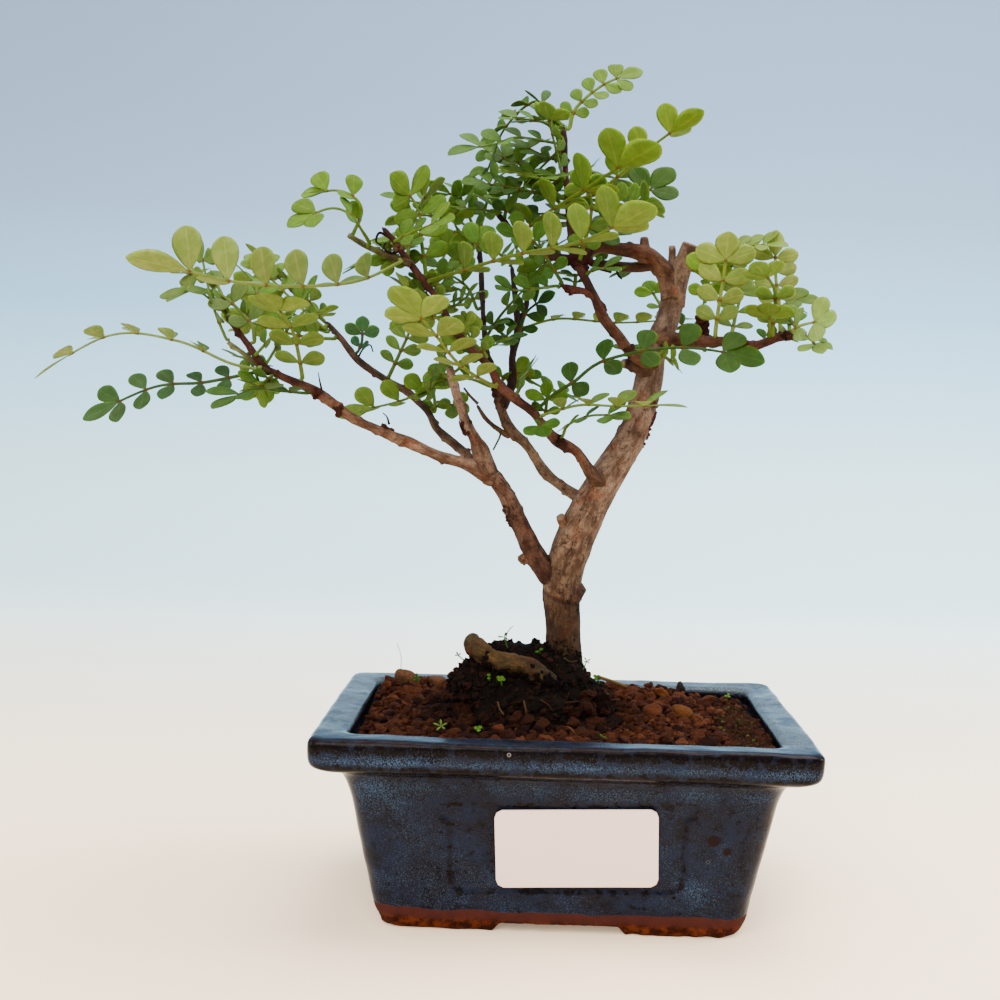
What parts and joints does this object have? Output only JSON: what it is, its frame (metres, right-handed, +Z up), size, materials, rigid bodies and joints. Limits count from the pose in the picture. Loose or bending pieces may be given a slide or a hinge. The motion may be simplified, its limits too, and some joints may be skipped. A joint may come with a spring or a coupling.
{
  "type": "potted bonsai tree",
  "caption": "Indoor bonsai with forked trunk and small paired leaflets, standing in a peat clump in a lipped blue glazed rectangular pot of clay granules.",
  "frame": {"origin": "middle of the whole footprint, on the table", "axes": "+Z up, +X to the right of the long front wall, +Y from the front wall to the back"},
  "size_m": [0.2364, 0.1444, 0.2694],
  "materials": {
    "blue_glaze": "glossy speckled dark blue glaze",
    "baked_clay_granules": "matte red-brown granules",
    "dark_peat": "crumbly dark peat and fine roots",
    "bark": "tan bark with red-brown patches",
    "leaf_green": "thin green leaf blade",
    "label_paper": "smooth white sticker",
    "black_netting": "moulded plastic netting"
  },
  "bodies": {
    "root": {"drain_mesh_left": "black_netting", "drain_mesh_right": "black_netting", "label": "label_paper", "leaf_back_left_1": "leaf_green", "leaf_back_left_2": "leaf_green", "leaf_back_left_3": "leaf_green", "leaf_back_left_4": "leaf_green", "leaf_crown_1": "leaf_green", "leaf_crown_10": "leaf_green", "leaf_crown_11": "leaf_green", "leaf_crown_12": "leaf_green", "leaf_crown_2": "leaf_green", "leaf_crown_3": "leaf_green", "leaf_crown_4": "leaf_green", "leaf_crown_5": "leaf_green", "leaf_crown_6": "leaf_green", "leaf_crown_7": "leaf_green", "leaf_crown_8": "leaf_green", "leaf_crown_9": "leaf_green", "leaf_dark_limb_1": "leaf_green", "leaf_dark_limb_10": "leaf_green", "leaf_dark_limb_11": "leaf_green", "leaf_dark_limb_12": "leaf_green", "leaf_dark_limb_2": "leaf_green", "leaf_dark_limb_3": "leaf_green", "leaf_dark_limb_4": "leaf_green", "leaf_dark_limb_5": "leaf_green", "leaf_dark_limb_6": "leaf_green", "leaf_dark_limb_7": "leaf_green", "leaf_dark_limb_8": "leaf_green", "leaf_dark_limb_9": "leaf_green", "leaf_left_stub_1": "leaf_green", "leaf_lower_left_1": "leaf_green", "leaf_lower_left_2": "leaf_green", "leaf_lower_left_3": "leaf_green", "leaf_lower_left_4": "leaf_green", "leaf_lower_left_5": "leaf_green", "leaf_right_spur_1": "leaf_green", "leaf_right_twig_1": "leaf_green", "leaf_right_twig_2": "leaf_green", "leaf_right_twig_3": "leaf_green", "leaf_right_twig_4": "leaf_green", "leaf_right_twig_5": "leaf_green", "leaf_right_twig_6": "leaf_green", "leaf_right_twig_7": "leaf_green", "leaf_tan_limb_1": "leaf_green", "leaf_tan_limb_2": "leaf_green", "leaf_tan_limb_3": "leaf_green", "leaf_tan_limb_4": "leaf_green", "leaf_tan_limb_5": "leaf_green", "leaf_tan_limb_6": "leaf_green", "leaf_tan_limb_7": "leaf_green", "leaf_tan_limb_8": "leaf_green", "leaf_top_branch_1": "leaf_green", "leaf_trunk_1": "leaf_green", "pot": "blue_glaze", "root_ball": "dark_peat", "soil": "baked_clay_granules", "tree_wood": "bark"}
  },
  "joints": []
}
